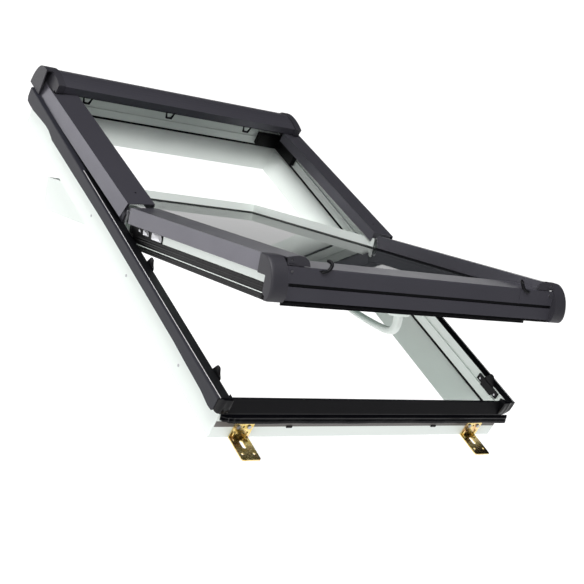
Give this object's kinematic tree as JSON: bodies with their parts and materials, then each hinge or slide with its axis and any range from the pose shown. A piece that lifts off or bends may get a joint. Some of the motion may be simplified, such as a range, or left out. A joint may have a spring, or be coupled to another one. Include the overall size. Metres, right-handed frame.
{
  "type": "centre-pivot roof window",
  "caption": "Sloping-roof skylight: a glazed sash that tilts about side pivots in a splayed frame, with outer covers, locking handle and fixing brackets.",
  "frame": {"origin": "centre of the frame's plan, in the mounting plane under the frame bars and bracket feet", "axes": "+X across the window to the right seen from outside, +Y up the roof slope, +Z out of the roof"},
  "size_m": [0.822, 1.3138, 0.5766],
  "materials": {
    "pvc": "satin white",
    "cover": "fine-textured anthracite coating",
    "cap": "fine-textured anthracite plastic",
    "black_plastic": "matt black",
    "seal": "smooth black rubber",
    "band": "grey-brown",
    "screw": "bright zinc",
    "hinge_steel": "bright zinc",
    "zinc": "yellow passivated",
    "glazing": "clear",
    "spacer": "dark"
  },
  "bodies": {
    "frame": {"frame_head": "pvc", "frame_sill": "pvc", "frame_jamb_left": "pvc", "frame_jamb_right": "pvc", "frame_gasket": "seal", "sill_cap": "black_plastic", "sill_band": "band", "sill_apron": "seal", "apron_clips": "black_plastic", "side_screws": "screw", "side_strip_left": "cover", "side_strip_right": "cover", "upper_cover_left": "cover", "upper_cover_right": "cover", "cover_screws": "black_plastic", "hood": "cover", "hood_cap_left": "cap", "hood_cap_right": "cap", "hood_clips": "black_plastic", "corner_block_left": "black_plastic", "corner_block_right": "black_plastic", "striker_left": "black_plastic", "striker_right": "black_plastic", "striker_screws": "screw", "hinge_plate_left": "hinge_steel", "hinge_plate_right": "hinge_steel", "hinge_pin_left": "hinge_steel", "hinge_pin_right": "hinge_steel", "bracket_sill_left": "zinc", "bracket_sill_right": "zinc", "bracket_head_left": "zinc", "bracket_head_right": "zinc", "bracket_screws": "screw"},
    "sash": {"sash_stile_left": "pvc", "sash_stile_right": "pvc", "sash_top_rail": "pvc", "sash_bottom_rail": "pvc", "sash_gasket": "seal", "glass_outer": "glazing", "glass_inner": "glazing", "glass_spacer": "spacer", "glass_bead": "seal", "lower_cover_left": "cover", "lower_cover_right": "cover", "cover_end_left": "cap", "cover_end_right": "cap", "bottom_carrier": "black_plastic", "bottom_cover_upper": "cover", "bottom_cover_lower": "cover", "bottom_rubber": "seal", "corner_cap_left": "cap", "corner_cap_right": "cap", "cap_screws": "screw", "hinge_arm_left": "hinge_steel", "hinge_arm_right": "hinge_steel", "handle_plate": "pvc", "bar_guides": "black_plastic"},
    "handle": {"handle": "pvc"},
    "lock_bar_left": {"lock_bar_left": "hinge_steel"},
    "lock_bar_right": {"lock_bar_right": "hinge_steel"}
  },
  "joints": [
    {"name": "sash_pivot", "type": "hinge", "parent": "frame", "child": "sash", "pos_m": [0, 0, 0.125], "axis": [-1, 0, 0], "range_deg": [-25.4, 64.6]},
    {"name": "handle_turn", "type": "hinge", "parent": "sash", "child": "handle", "pos_m": [0, -0.5089, 0.27255], "axis": [0, -0.4289, -0.9033], "range_deg": [0, 90]},
    {"name": "lock_slide_left", "type": "slide", "parent": "sash", "child": "lock_bar_left", "axis": [0, 0.9033, -0.4289], "range_m": [0, 0.012]},
    {"name": "lock_slide_right", "type": "slide", "parent": "sash", "child": "lock_bar_right", "axis": [0, 0.9033, -0.4289], "range_m": [0, 0.012]}
  ],
  "couplings": [
    {"joint": "lock_slide_left", "follows": "handle_turn", "m_per_rad": 0.007639},
    {"joint": "lock_slide_right", "follows": "handle_turn", "m_per_rad": 0.007639}
  ]
}
